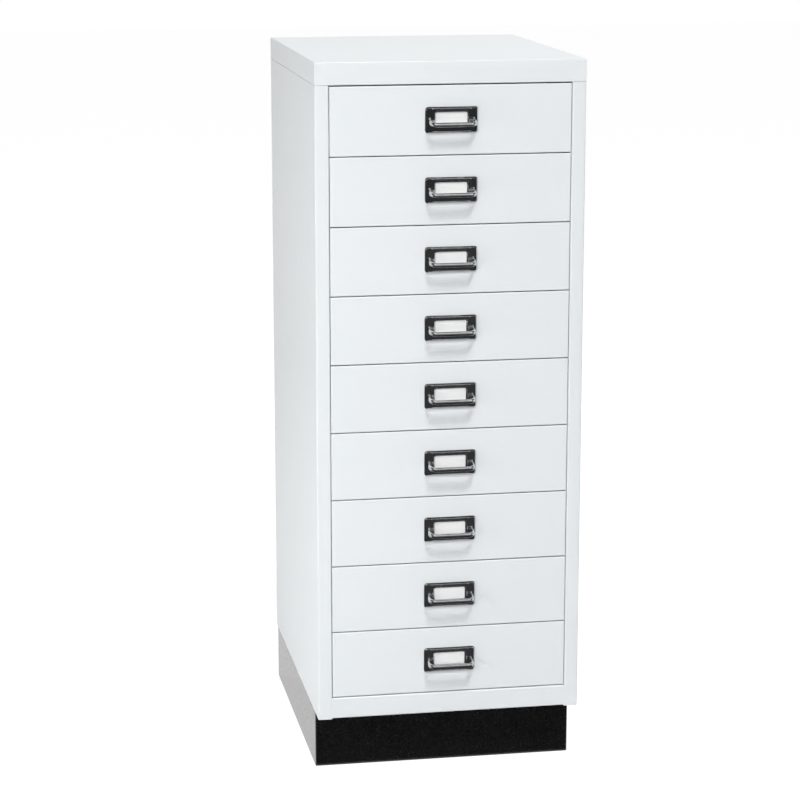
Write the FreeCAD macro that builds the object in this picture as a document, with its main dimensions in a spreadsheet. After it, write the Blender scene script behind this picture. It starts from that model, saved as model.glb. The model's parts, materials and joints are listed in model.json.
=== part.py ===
import FreeCAD, Part
import os
import re
import Sketcher

# Steel multi-drawer cabinet on a black plinth, with nine equal drawers.
# Millimetres. X runs across the front, Y from front to back, Z up from the floor.
# The origin is on the floor under the middle of the whole cabinet, its handles included.

doc = FreeCAD.newDocument("DrawerCabinet")

# Driving sizes, one cell each.
sizes = {
    # carcass
    "cabinet_width": 349.0,
    "cabinet_depth": 432.0,
    "plinth_height": 80.0,
    "rail_height": 29.0,        # rail under the lowest drawer
    "cap_skirt": 29.0,          # height of the cap's turned-down edge
    "drawer_pitch": 88.9,
    "front_gap": 1.9,           # gap above and below each drawer front
    "carcass_sheet": 1.0,
    "carcass_bend": 2.0,        # outer radius of a carcass fold
    "stile_width": 18.3,        # front fold of a side panel, beside the drawers
    "back_flange": 15.0,
    "floor_flange": 15.0,
    "seam": 0.3,                # between the rail and the stiles
    "rail_return": 12.0,
    "rail_hem": 9.0,
    "top_rail_depth": 16.0,
    # posts and runners inside the carcass
    "upright_width": 30.0,
    "upright_back_room": 3.0,
    "stop_rise": 3.0,           # tab that stops a drawer from coming out
    # drawer
    "drawer_sheet": 0.8,
    "drawer_bend": 1.6,         # bevelled fold along the foot of a side wall
    "side_gap": 1.2,            # between a drawer front and a stile
    "front_depth": 12.0,
    "front_bend": 1.2,
    "front_lip": 8.0,
    "tray_height": 70.0,
    "tray_lift": 6.0,           # tray's floor above the front's lower edge
    "tray_back_room": 5.0,
    "tray_flange": 4.5,
    "tray_hem": 4.5,
    "tray_rim": 10.0,           # turned-in rim on the front and back walls
    "glide_length": 30.0,
    "glide_proud": 0.3,
    "glide_lead": 1.5,          # bevel at the ends of a glide's running face
    "drawer_travel": 320.0,
    # running clearances
    "slide_clearance": 0.8,     # tray to runner, from side to side
    "stop_clearance": 0.5,      # stop tab to the flange's turned-down edge
    "seat_clearance": 0.3,      # glide to runner floor
    "head_clearance": 0.5,      # tray flange to runner ceiling
    "closing_gap": 0.5,         # drawer front to the runners behind it
    "stop_gap": 0.5,            # glide to stop tab at full travel
    # handle with its label window
    "handle_width": 68.5,
    "handle_height": 33.5,
    "handle_corner": 3.5,
    "plate_depth": 2.6,
    "plate_margin": 1.2,        # plate above and below the raised panel
    "panel_border": 8.0,        # end cheek beside the raised panel
    "panel_rise": 0.8,
    "panel_bevel": 0.5,
    "window_side": 14.25,       # handle beyond each end of the window
    "window_top": 7.0,          # bar above the window
    "window_foot": 10.5,        # and below it
    "window_corner": 1.6,
    "window_bevel": 2.0,        # slope round the window, down to the card
    "card_recess": 0.9,
    "card_thickness": 0.5,
    "card_overlap": 4.0,        # card beyond each side of the window
    "card_fit": 0.5,            # play round the card in its recess
    "card_foot": 2.0,           # recess below the window
    "bow_reach": 22.0,
    "bow_thickness": 3.0,
    "bow_height": 5.2,
    "bow_root_drop": 13.8,      # bow's upper edge below the plate's top, at the plate
    "bow_bar_drop": 18.7,       # and at the bar
    "bow_root_inset": 1.5,
    "bow_bar_inset": 2.5,
    "bow_corner": 7.0,
    "lug_width": 3.0,           # cast lugs peened over behind the drawer front
    "lug_height": 6.0,
    "lug_inset": 4.6,
    "lug_clearance": 0.2,
    "lug_spread": 1.0,
    "lug_head": 1.2,
    # plinth
    "plinth_setback": 44.0,
    "plinth_inset": 2.0,
    "plinth_corner": 3.0,
    "plinth_return": 12.0,      # front panel wrapped round each corner
    "plinth_flange": 20.0,
    "plinth_foot": 15.0,
    "flange_gap": 0.5,          # between flanges that meet at a corner
}

# Sizes that follow from the driving ones.
derived = {
    "half_width": "cabinet_width / 2",
    "front_face": "(bow_reach - cabinet_depth) / 2",
    "rear_face": "(bow_reach + cabinet_depth) / 2",
    "wall_face": "half_width - carcass_sheet",
    "inside_bend": "carcass_bend - carcass_sheet",
    "floor_level": "plinth_height + carcass_sheet",
    "floor_top": "floor_level + carcass_sheet",
    "stack_bottom": "plinth_height + rail_height",
    "stack_top": "stack_bottom + drawer_count * drawer_pitch + front_gap",
    "cabinet_top": "stack_top + cap_skirt",
    "cap_underside": "cabinet_top - carcass_sheet",
    "opening_half": "half_width - stile_width",
    "back_face": "rear_face - 2 * carcass_sheet",
    "front_back": "front_face + front_depth",
    "post_front": "front_back + closing_gap",
    "post_back": "back_face - upright_back_room",
    "front_half": "opening_half - side_gap",
    "tray_half": "front_half - tray_flange",
    "runner_face": "front_half + slide_clearance",
    "runner_edge": "tray_half + slide_clearance",
    "post_face": "runner_face + carcass_sheet",
    "stop_edge": "front_half - drawer_sheet - stop_clearance",
    "tray_back": "back_face - tray_back_room",
    "tray_length": "tray_back - front_back",
    "tray_top": "tray_lift + tray_height",
    "runner_level": "tray_top - tray_hem - glide_proud - seat_clearance",
    "runner_ceiling": "tray_top + head_clearance",
    "stop_back": "tray_back - glide_length - drawer_travel - stop_gap",
    "front_height": "drawer_pitch - front_gap",
    "handle_half": "handle_width / 2",
    "handle_bottom": "(front_height - handle_height) / 2",
    "handle_top": "handle_bottom + handle_height",
    "window_width": "handle_width - 2 * window_side",
    "window_height": "handle_height - window_top - window_foot",
    "window_sill": "handle_bottom + window_foot",
    "plate_face": "front_face - plate_depth",
    "panel_face": "plate_face - panel_rise",
    "recess_half": "window_width / 2 + card_overlap + card_fit",
    "bow_face": "front_face - bow_reach",
    "lug_place": "handle_half - lug_inset",
    "plinth_half": "half_width - plinth_inset",
    "plinth_front_face": "front_face + plinth_setback",
    "plinth_flange_level": "plinth_height - carcass_sheet",
}

drawerCount = 9
sheet = doc.addObject("Spreadsheet::Sheet", "Sizes")


def fill_cell(row, name, content):
    sheet.set(f"A{row}", name)
    sheet.set(f"B{row}", content)
    sheet.setAlias(f"B{row}", name)


row = 1
fill_cell(row, "drawer_count", str(drawerCount))
for name, value in sizes.items():
    row += 1
    fill_cell(row, name, str(value))
for name, formula in derived.items():
    row += 1
    fill_cell(row, name, "=" + formula)
doc.recompute()


def bound(text):
    """The same sum with every word read from the sheet."""
    return re.sub(r"[a-z][a-z_]*", r"Sizes.\g<0>", text)


def size(text):
    return float(sheet.evalExpression(bound(text)))


def point(place):
    return FreeCAD.Vector(*[size(text) for text in place])


def new_body(label, lift=None):
    body = doc.addObject("PartDesign::Body", label)
    body.Label = label
    if lift:
        body.setExpression("Placement.Base.z", bound(lift))
    return body


def plane_of(body, role):
    return [item for item in body.Origin.OriginFeatures if item.Role == role][0]


def draw(body, role, offset, loops):
    """A sketch of closed outlines on one of the body's planes, every corner tied to the sheet."""
    sketch = body.newObject("Sketcher::SketchObject", "Sketch")
    sketch.AttachmentSupport = (plane_of(body, role), [""])
    sketch.MapMode = "FlatFace"
    sketch.setExpression("AttachmentOffset.Base.z", bound(offset))
    for loop in loops:
        first = sketch.GeometryCount
        corners = [FreeCAD.Vector(size(across), size(along), 0) for across, along in loop]
        followers = corners[1:] + corners[:1]
        sketch.addGeometry([Part.LineSegment(a, b) for a, b in zip(corners, followers)], False)
        for index in range(len(loop)):
            after = first + (index + 1) % len(loop)
            sketch.addConstraint(Sketcher.Constraint("Coincident", first + index, 2, after, 1))
        for index, (place, corner) in enumerate(zip(loop, corners)):
            for kind, text, value in (("DistanceX", place[0], corner.x), ("DistanceY", place[1], corner.y)):
                rule = sketch.addConstraint(Sketcher.Constraint(kind, -1, 1, first + index, 1, value))
                sketch.setExpression(f"Constraints[{rule}]", bound(text))
    return sketch


def pad(body, sketch, length):
    feature = body.newObject("PartDesign::Pad", "Pad")
    feature.Profile = sketch
    feature.setExpression("Length", bound(length))
    doc.recompute()
    return feature


def cut(body, sketch, length, forward=False):
    """A pocket to the back of its sketch plane, or to the front of it."""
    before = body.Shape.Volume
    feature = body.newObject("PartDesign::Pocket", "Pocket")
    feature.Profile = sketch
    feature.setExpression("Length", bound(length))
    feature.Reversed = forward
    doc.recompute()
    if not feature.Shape.Volume < before:
        raise RuntimeError(f"{body.Label}: {feature.Name} cuts nothing")
    return feature


def edges_through(feature, places):
    """Names of the edges that pass through the given places."""
    found = []
    for place in places:
        spot = Part.Vertex(point(place))
        for index, edge in enumerate(feature.Shape.Edges, 1):
            if edge.distToShape(spot)[0] < size("seam") / 1000:
                found.append(f"Edge{index}")
    return sorted(set(found))


def ease(body, base, kind, radius, places):
    """Rounds or bevels the edges through the given places."""
    feature = body.newObject(f"PartDesign::{kind}", kind)
    feature.Base = (base, edges_through(base, places))
    feature.setExpression("Radius" if kind == "Fillet" else "Size", bound(radius))
    doc.recompute()
    return feature


def hollow(body, base, place, wall):
    """A shell of one wall thickness, open at the face that holds the given place."""
    spot = Part.Vertex(point(place))
    faces = [f"Face{index}" for index, face in enumerate(base.Shape.Faces, 1)
             if face.distToShape(spot)[0] < size("seam") / 1000]
    feature = body.newObject("PartDesign::Thickness", "Thickness")
    feature.Base = (base, faces)
    feature.setExpression("Value", bound(wall))
    feature.Reversed = True
    feature.Join = 0
    doc.recompute()
    return feature


def rectangle(left, right, low, high):
    return [(left, low), (right, low), (right, high), (left, high)]


def both_sides(*places):
    """The given places and the same ones on the other side of the middle plane."""
    return [place for x, y, z in places for place in ((x, y, z), (f"-({x})", y, z))]


# Carcass

def make_top_cap():
    """A pan turned down all round, with a flange folded in under its front edge."""
    body = new_body("top_cap")
    block = pad(body, draw(body, "XY_Plane", "stack_top",
                           [rectangle("-half_width", "half_width", "front_face", "rear_face")]),
                "cap_skirt")
    rims = both_sides(("half_width", "0", "cabinet_top"))
    rims += [("0", "front_face", "cabinet_top"), ("0", "rear_face", "cabinet_top")]
    rounded = ease(body, block, "Fillet", "carcass_bend", rims)
    hollow(body, rounded, ("0", "0", "stack_top"), "carcass_sheet")
    pad(body, draw(body, "XY_Plane", "stack_top",
                   [rectangle("-wall_face", "wall_face", "front_face + carcass_sheet",
                              "front_back")]), "carcass_sheet")
    return body


def make_side_panel(label, side):
    """One sheet folded into the side, the stile beside the drawers and the flange at the back."""
    body = new_body(label)
    inner = "carcass_sheet"
    profile = [
        ("half_width", "front_face"), ("half_width", "rear_face"),
        ("half_width - back_flange", "rear_face"), ("half_width - back_flange", "rear_face - " + inner),
        ("wall_face", "rear_face - " + inner), ("wall_face", "front_face + " + inner),
        ("opening_half + " + inner, "front_face + " + inner),
        ("opening_half + " + inner, "front_back"), ("opening_half", "front_back"),
        ("opening_half", "front_face"),
    ]
    profile = [(f"{side} * ({across})", along) for across, along in profile]
    sheet_metal = pad(body, draw(body, "XY_Plane", "plinth_height", [profile]), "stack_top - plinth_height")
    middle = "(plinth_height + stack_top) / 2"
    outer = [(f"{side} * half_width", "front_face", middle), (f"{side} * half_width", "rear_face", middle),
             (f"{side} * opening_half", "front_face", middle)]
    inside = [(f"{side} * wall_face", "front_face + carcass_sheet", middle),
              (f"{side} * wall_face", "rear_face - carcass_sheet", middle),
              (f"{side} * (opening_half + carcass_sheet)", "front_face + carcass_sheet", middle)]
    folded = ease(body, sheet_metal, "Fillet", "carcass_bend", outer)
    ease(body, folded, "Fillet", "inside_bend", inside)
    shelf = rectangle(f"{side} * wall_face", f"{side} * (half_width - floor_flange)",
                      "post_front", "back_face")
    pad(body, draw(body, "XY_Plane", "plinth_height", [shelf]), "carcass_sheet")
    return body


def make_back_panel():
    body = new_body("back_panel")
    pad(body, draw(body, "XZ_Plane", "carcass_sheet - rear_face",
                   [rectangle("inside_bend - wall_face", "wall_face - inside_bend", "floor_level",
                              "cap_underside - inside_bend")]), "carcass_sheet")
    return body


def make_base_pan():
    """The floor, folded up at the front into the rail under the lowest drawer."""
    body = new_body("base_pan")
    front = "front_face"
    profile = [
        ("post_front", "floor_level"), (front, "floor_level"), (front, "stack_bottom"),
        (front + " + rail_return", "stack_bottom"),
        (front + " + rail_return", "stack_bottom - rail_hem"),
        (front + " + rail_return - carcass_sheet", "stack_bottom - rail_hem"),
        (front + " + rail_return - carcass_sheet", "stack_bottom - carcass_sheet"),
        (front + " + carcass_sheet", "stack_bottom - carcass_sheet"),
        (front + " + carcass_sheet", "floor_top"), ("post_front", "floor_top"),
    ]
    rail = pad(body, draw(body, "YZ_Plane", "seam - opening_half", [profile]), "2 * (opening_half - seam)")
    outer = [("0", front, "floor_level"), ("0", front, "stack_bottom"),
             ("0", front + " + rail_return", "stack_bottom")]
    inside = [("0", front + " + carcass_sheet", "floor_top"),
              ("0", front + " + carcass_sheet", "stack_bottom - carcass_sheet"),
              ("0", front + " + rail_return - carcass_sheet", "stack_bottom - carcass_sheet")]
    folded = ease(body, rail, "Fillet", "carcass_bend", outer)
    ease(body, folded, "Fillet", "inside_bend", inside)
    pad(body, draw(body, "XY_Plane", "floor_level",
                   [rectangle("-wall_face", "wall_face", "post_front", "back_face")]), "carcass_sheet")
    return body


def make_top_rail():
    """A channel between the front posts, under the cap."""
    body = new_body("top_rail")
    front, back = "post_front", "post_front + top_rail_depth"
    low, high = "stack_top + carcass_sheet", "cap_underside"
    profile = [(back, low), (front, low), (front, high), (back, high), (back, high + " - carcass_sheet"),
               (front + " + carcass_sheet", high + " - carcass_sheet"),
               (front + " + carcass_sheet", low + " + carcass_sheet"), (back, low + " + carcass_sheet")]
    pad(body, draw(body, "YZ_Plane", "-post_face", [profile]), "2 * post_face")
    return body


def make_uprights(label, side):
    """A front and a back post, channels with their edges against the side panel."""
    body = new_body(label)
    posts = []
    for front in ("post_front", "post_back - upright_width"):
        back = f"{front} + upright_width"
        posts.append([(f"{side} * ({across})", along) for across, along in (
            ("wall_face", front), ("post_face", front), ("post_face", back), ("wall_face", back),
            ("wall_face", back + " - carcass_sheet"),
            ("post_face + carcass_sheet", back + " - carcass_sheet"),
            ("post_face + carcass_sheet", front + " + carcass_sheet"),
            ("wall_face", front + " + carcass_sheet"))])
    pad(body, draw(body, "XY_Plane", "floor_top", posts), "cap_underside - inside_bend - floor_top")
    return body


def make_runners(label, side):
    """Nine channels across the posts, each with a stop tab standing on its lower flange."""
    body = new_body(label, "stack_bottom + front_gap")
    inner = "runner_edge"
    low, high = "runner_level - carcass_sheet", "runner_ceiling + carcass_sheet"
    profile = [(f"{side} * {across}", level) for across, level in (
        (inner, low), ("post_face", low), ("post_face", high), (inner, high), (inner, "runner_ceiling"),
        ("runner_face", "runner_ceiling"), ("runner_face", "runner_level"), (inner, "runner_level"))]
    channel = pad(body, draw(body, "XZ_Plane", "-post_back", [profile]), "post_back - post_front")
    tab = rectangle(f"{side} * {inner}", f"{side} * stop_edge", "runner_level", "runner_level + stop_rise")
    stop = pad(body, draw(body, "XZ_Plane", "-stop_back", [tab]), "carcass_sheet")
    return repeat_upwards(body, [channel, stop])


def repeat_upwards(body, features):
    """One copy for every drawer, a drawer's height apart."""
    pattern = body.newObject("PartDesign::LinearPattern", "LinearPattern")
    pattern.Originals = features
    pattern.Direction = ([item for item in body.Origin.OriginFeatures if item.Role == "Z_Axis"][0], [""])
    pattern.Mode = "Spacing"
    pattern.setExpression("Offset", bound("drawer_pitch"))
    pattern.setExpression("Occurrences", bound("drawer_count"))
    body.Tip = pattern
    doc.recompute()
    return body


# Plinth

def plinth_flanges(body, across, along):
    """The flange under the carcass and the foot on the floor, each given as far as it reaches."""
    for level, reach in (("plinth_flange_level", "plinth_flange"), ("0", "plinth_foot")):
        flange = rectangle(*[text.replace("reach", reach) for text in across + along])
        pad(body, draw(body, "XY_Plane", level, [flange]), "carcass_sheet")


def make_plinth_front():
    """The front panel, wrapped round both corners."""
    body = new_body("plinth_front")
    face, inner = "plinth_front_face", "plinth_half - carcass_sheet"
    outline = [("-plinth_half", face), ("plinth_half", face), ("plinth_half", face + " + plinth_return"),
               (inner, face + " + plinth_return"), (inner, face + " + carcass_sheet"),
               (f"-({inner})", face + " + carcass_sheet"), (f"-({inner})", face + " + plinth_return"),
               ("-plinth_half", face + " + plinth_return")]
    wrap = pad(body, draw(body, "XY_Plane", "0", [outline]), "plinth_height")
    ease(body, wrap, "Fillet", "plinth_corner", both_sides(("plinth_half", face, "plinth_height / 2")))
    corner = "plinth_half - plinth_corner"
    plinth_flanges(body, (f"-({corner})", corner), (face + " + carcass_sheet", face + " + reach"))
    return body


def make_plinth_side(label, side):
    """A side panel, its flanges cut short where the front and back ones pass."""
    body = new_body(label)
    inner = "(plinth_half - carcass_sheet)"
    web = rectangle(f"{side} * plinth_half", f"{side} * {inner}", "plinth_front_face + plinth_return",
                    "rear_face - carcass_sheet")
    pad(body, draw(body, "XY_Plane", "0", [web]), "plinth_height")
    plinth_flanges(body, (f"{side} * {inner}", f"{side} * (plinth_half - reach)"),
                   ("plinth_front_face + plinth_flange + flange_gap",
                    "rear_face - plinth_flange - flange_gap"))
    return body


def make_plinth_back():
    body = new_body("plinth_back")
    pad(body, draw(body, "XZ_Plane", "-rear_face",
                   [rectangle("-plinth_half", "plinth_half", "0", "plinth_height")]), "carcass_sheet")
    inner = "plinth_half - carcass_sheet - flange_gap"
    plinth_flanges(body, (f"-({inner})", inner), ("rear_face - reach", "rear_face - carcass_sheet"))
    return body


# Drawer. Its own level zero is the lower edge of its front.

def drawer_body(number, piece):
    level = f"stack_bottom + front_gap + {drawerCount - number} * drawer_pitch"
    return new_body(f"drawer_{number}_{piece}", level)


def make_tray(body):
    """A folded tray whose side walls turn out at the top into the runners."""
    block = pad(body, draw(body, "XY_Plane", "tray_lift",
                           [rectangle("-tray_half", "tray_half", "front_back", "tray_back")]), "tray_height")
    folded = ease(body, block, "Chamfer", "drawer_bend", both_sides(("tray_half", "0", "tray_lift")))
    hollow(body, folded, ("0", "0", "tray_top"), "drawer_sheet")
    outer = "front_half"
    flanges = [[(f"{side} * ({across})", level) for across, level in (
        ("tray_half - drawer_sheet", "tray_top"), (outer, "tray_top"), (outer, "tray_top - tray_hem"),
        (outer + " - drawer_sheet", "tray_top - tray_hem"),
        (outer + " - drawer_sheet", "tray_top - drawer_sheet"),
        ("tray_half - drawer_sheet", "tray_top - drawer_sheet"))] for side in (-1, 1)]
    pad(body, draw(body, "XZ_Plane", "drawer_sheet - tray_back", flanges), "tray_length - 2 * drawer_sheet")
    rims = [rectangle("drawer_sheet - tray_half", "tray_half - drawer_sheet", near, far) for near, far in (
        ("front_back + drawer_sheet", "front_back + tray_rim"),
        ("tray_back - tray_rim", "tray_back - drawer_sheet"))]
    pad(body, draw(body, "XY_Plane", "tray_top - drawer_sheet", rims), "drawer_sheet")
    return body


def make_front(body):
    """A pan with turned-back edges and lips, pierced for the handle's two lugs."""
    block = pad(body, draw(body, "XZ_Plane", "-front_back",
                           [rectangle("-front_half", "front_half", "0", "front_height")]), "front_depth")
    middle = "front_height / 2"
    edges = both_sides(("front_half", "front_face", middle))
    edges += [("0", "front_face", "0"), ("0", "front_face", "front_height")]
    ease(body, block, "Fillet", "front_bend", edges)
    inside = rectangle("drawer_sheet - front_half", "front_half - drawer_sheet",
                       "drawer_sheet", "front_height - drawer_sheet")
    cut(body, draw(body, "XZ_Plane", "-(front_face + drawer_sheet)", [inside]),
        "front_depth - 2 * drawer_sheet")
    mouth = rectangle("front_lip - front_half", "front_half - front_lip",
                      "front_lip", "front_height - front_lip")
    cut(body, draw(body, "XZ_Plane", "drawer_sheet - front_back", [mouth]), "drawer_sheet")
    cut(body, draw(body, "XZ_Plane", "-front_face", lug_outlines("lug_clearance")), "drawer_sheet")
    return body


def lug_outlines(spread):
    """The two lugs' section at mid height, larger all round by a named amount."""
    width, height = f"(lug_width / 2 + {spread})", f"(lug_height / 2 + {spread})"
    return [rectangle(f"{side} * lug_place - {width}", f"{side} * lug_place + {width}",
                      f"front_height / 2 - {height}", f"front_height / 2 + {height}") for side in (-1, 1)]


def make_handle(body):
    """A label frame and bow pull cast in one, with two lugs through the drawer front."""
    plate_middle = "front_face - plate_depth / 2"
    plate = pad(body, draw(body, "XZ_Plane", "-front_face",
                           [rectangle("-handle_half", "handle_half", "handle_bottom", "handle_top")]),
                "plate_depth")
    ease(body, plate, "Fillet", "handle_corner",
         both_sides(("handle_half", plate_middle, "handle_bottom"),
                    ("handle_half", plate_middle, "handle_top")))
    add_bow(body)
    panel_half = "handle_half - panel_border"
    panel_low, panel_high = "handle_bottom + plate_margin", "handle_top - plate_margin"
    panel = pad(body, draw(body, "XZ_Plane", "-plate_face",
                           [rectangle(f"-({panel_half})", panel_half, panel_low, panel_high)]), "panel_rise")
    ease(body, panel, "Chamfer", "panel_bevel",
         both_sides((panel_half, "panel_face", "front_height / 2"))
         + [("0", "panel_face", panel_low), ("0", "panel_face", panel_high)])
    # The window and the pocket behind it for the card, which goes in from above.
    window = draw(body, "XZ_Plane", "-panel_face",
                  [rectangle("-window_width / 2", "window_width / 2", "window_sill",
                             "window_sill + window_height")])
    opened = cut(body, window, "plate_depth + panel_rise")
    window_corners = both_sides(("window_width / 2", plate_middle, "window_sill"),
                                ("window_width / 2", plate_middle, "window_sill + window_height"))
    rounded = ease(body, opened, "Fillet", "window_corner", window_corners)
    # One edge is enough, because the bevel follows the rounded corners.
    ease(body, rounded, "Chamfer", "window_bevel", [("0", "panel_face", "window_sill")])
    cut(body, draw(body, "XZ_Plane", "-front_face",
                   [rectangle("-recess_half", "recess_half", "window_sill - card_foot", "handle_top")]),
        "card_recess", forward=True)
    add_lugs(body)
    return body


def add_bow(body):
    """The pull: a bent bar seen from above, then trimmed to its slope as seen from the side."""
    root, bar = "handle_half - bow_root_inset", "handle_half - bow_bar_inset"
    inner_face = "bow_face + bow_thickness"
    level = "handle_top - bow_root_drop"
    lowest = "handle_top - bow_bar_drop - bow_height"
    plan = [
        (f"-({root})", "plate_face"), (f"-({bar})", "bow_face"), (bar, "bow_face"), (root, "plate_face"),
        (f"{root} - bow_thickness", "plate_face"), (f"{bar} - bow_thickness", inner_face),
        (f"-({bar} - bow_thickness)", inner_face), (f"-({root} - bow_thickness)", "plate_face")]
    bow = pad(body, draw(body, "XY_Plane", lowest, [plan]), f"{level} - ({lowest})")
    height = f"({level} + ({lowest})) / 2"
    turned = ease(body, bow, "Fillet", "bow_corner", both_sides((bar, "bow_face", height)))
    turned = ease(body, turned, "Fillet", "bow_corner - bow_thickness",
                  both_sides((f"{bar} - bow_thickness", inner_face, height)))
    above = [("plate_face", level), ("bow_face", "handle_top - bow_bar_drop"),
             ("bow_face - bow_thickness", "handle_top - bow_bar_drop"),
             ("bow_face - bow_thickness", f"{level} + bow_height"), ("plate_face", f"{level} + bow_height")]
    below = [("plate_face", f"{level} - bow_height"), ("bow_face", lowest),
             ("bow_face - bow_thickness", lowest), ("bow_face - bow_thickness", f"{lowest} - bow_height"),
             ("plate_face", f"{lowest} - bow_height")]
    cut(body, draw(body, "YZ_Plane", "handle_half", [above, below]), "handle_width")


def add_lugs(body):
    """A lug through the drawer front at each end, spread into a head behind it."""
    pad(body, draw(body, "XZ_Plane", "-(front_face + drawer_sheet)", lug_outlines("0")), "drawer_sheet")
    pad(body, draw(body, "XZ_Plane", "-(front_face + drawer_sheet + lug_head)", lug_outlines("lug_spread")),
        "lug_head")


def make_label(body):
    """A plain card in the pocket behind the window."""
    half = "recess_half - card_fit"
    foot = "window_sill - card_foot"
    card = rectangle(f"-({half})", half, foot, "handle_top - card_fit")
    pad(body, draw(body, "XZ_Plane", "-front_face", [card]), "card_thickness")
    return body


def make_glides(body):
    """A nylon glide under each side flange, at the back of the tray."""
    low = "tray_top - tray_hem - glide_proud"
    outer = "front_half - drawer_sheet"
    blocks = [rectangle(f"{side} * tray_half", f"{side} * ({outer})", low, "tray_top - drawer_sheet")
              for side in (-1, 1)]
    back = "tray_back - drawer_sheet"
    front = "tray_back - glide_length"
    glides = pad(body, draw(body, "XZ_Plane", f"-({back})", blocks), "glide_length - drawer_sheet")
    middle = f"(tray_half + ({outer})) / 2"
    ease(body, glides, "Chamfer", "glide_lead",
         both_sides((middle, front, low), (middle, back, low)))
    return body


def make_copy(number, piece, original):
    """Another drawer's piece, the same as the top drawer's."""
    body = drawer_body(number, piece)
    copy = doc.addObject("PartDesign::FeatureBase", "Clone")
    body.Group = [copy]
    copy.BaseFeature = original
    body.Tip = copy
    return body


pieces = [make_top_cap(), make_back_panel(), make_base_pan(), make_top_rail(), make_plinth_front(),
          make_plinth_back()]
for hand, side in (("left", -1), ("right", 1)):
    pieces.append(make_side_panel(f"side_panel_{hand}", side))
    pieces.append(make_uprights(f"uprights_{hand}", side))
    pieces.append(make_runners(f"runners_{hand}", side))
    pieces.append(make_plinth_side(f"plinth_side_{hand}", side))

drawer_makers = {"tray": make_tray, "front": make_front, "handle": make_handle, "label": make_label,
                 "glides": make_glides}
for piece, maker in drawer_makers.items():
    original = maker(drawer_body(1, piece))
    pieces.append(original)
    for number in range(2, drawerCount + 1):
        pieces.append(make_copy(number, piece, original))

doc.recompute()
for item in doc.Objects:
    if "Invalid" in item.State or "Error" in item.State:
        raise RuntimeError(f"{item.Label} failed: {item.State}")
for body in pieces:
    if body.Shape.isNull() or not body.Shape.isValid() or not body.Shape.Solids:
        raise RuntimeError(f"{body.Label} has no sound solid")

os.makedirs("parts", exist_ok=True)
for body in pieces:
    body.Shape.exportStep(f"parts/{body.Label}.step")
    print(body.Label, len(body.Shape.Solids), "solids", round(body.Shape.Volume), "mm3")
print("height", round(size("cabinet_top"), 2), "tray", round(size("tray_half * 2"), 2),
      round(size("tray_length"), 2))
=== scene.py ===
import json
import math

import bmesh
import bpy
from mathutils import Matrix, Vector

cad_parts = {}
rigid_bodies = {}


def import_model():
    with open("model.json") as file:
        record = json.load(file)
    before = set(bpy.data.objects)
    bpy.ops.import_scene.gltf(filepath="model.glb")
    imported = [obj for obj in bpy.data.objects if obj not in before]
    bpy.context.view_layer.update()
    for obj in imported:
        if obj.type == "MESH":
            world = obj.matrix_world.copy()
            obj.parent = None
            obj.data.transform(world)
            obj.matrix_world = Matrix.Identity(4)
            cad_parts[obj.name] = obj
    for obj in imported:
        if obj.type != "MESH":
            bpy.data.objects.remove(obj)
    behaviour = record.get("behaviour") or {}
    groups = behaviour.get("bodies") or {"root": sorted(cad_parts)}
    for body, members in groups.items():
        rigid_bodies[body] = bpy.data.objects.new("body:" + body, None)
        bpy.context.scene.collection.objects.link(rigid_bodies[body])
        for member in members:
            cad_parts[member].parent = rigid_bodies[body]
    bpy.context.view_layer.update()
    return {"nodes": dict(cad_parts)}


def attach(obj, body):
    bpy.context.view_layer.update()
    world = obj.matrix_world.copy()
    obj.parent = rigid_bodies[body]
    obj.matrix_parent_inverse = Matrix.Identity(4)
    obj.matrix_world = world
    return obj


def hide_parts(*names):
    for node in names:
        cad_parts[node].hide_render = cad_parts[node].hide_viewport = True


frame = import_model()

# White steel cabinet with nine drawers on a black plinth, in metres and in the CAD's own frame:
# X to the right, Y from the drawer fronts to the back, Z up. Sizes in the dictionaries are millimetres.
mm = 0.001
cadNodes = frame["nodes"]
drawerNumbers = range(1, 10)    # 1 is the top drawer

stack = {
    "frontFace": -205.0,        # drawer fronts and cap, along Y
    "topLevel": 822.1,          # lower edge of the top drawer's front
    "pitch": 88.9,
    "frontHeight": 87.0,
}


def addNode(tree, kind, inputs=None, **settings):
    node = tree.nodes.new(kind)
    for key, value in settings.items():
        setattr(node, key, value)
    for key, value in (inputs or {}).items():
        if isinstance(value, bpy.types.NodeSocket):
            tree.links.new(value, node.inputs[key])
        else:
            node.inputs[key].default_value = value
    return node


def newMaterial(name):
    material = bpy.data.materials.new(name)
    material.use_nodes = True
    tree = material.node_tree
    shader = tree.nodes["Principled BSDF"]
    place = addNode(tree, "ShaderNodeTexCoord").outputs["Object"]
    return material, tree, shader, place


def noise(tree, place, size, detail=2.0, stretch=None):
    # size is the width of one spot in millimetres
    if stretch:
        place = addNode(tree, "ShaderNodeMapping", {"Vector": place, "Scale": stretch}).outputs[0]
    return addNode(tree, "ShaderNodeTexNoise", {
        "Vector": place, "Scale": 1 / (size * mm), "Detail": detail}).outputs[0]


noiseReach = (0.3, 0.7)     # nearly all of a noise lies between these


def mapRange(tree, value, fromRange, toRange):
    made = addNode(tree, "ShaderNodeMapRange", {
        0: value, 1: fromRange[0], 2: fromRange[1], 3: toRange[0], 4: toRange[1]})
    return made.outputs[0]


def between(tree, share, low, high):
    return mapRange(tree, share, noiseReach, (low, high))


def twoTone(tree, share, first, second):
    made = addNode(tree, "ShaderNodeMix", {0: share, 6: (*first, 1), 7: (*second, 1)}, data_type="RGBA")
    return made.outputs[2]


def relief(tree, height, depth, strength, under=None):
    inputs = {"Height": height, "Distance": depth * mm, "Strength": strength}
    if under:
        inputs["Normal"] = under
    return addNode(tree, "ShaderNodeBump", inputs).outputs[0]


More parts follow.
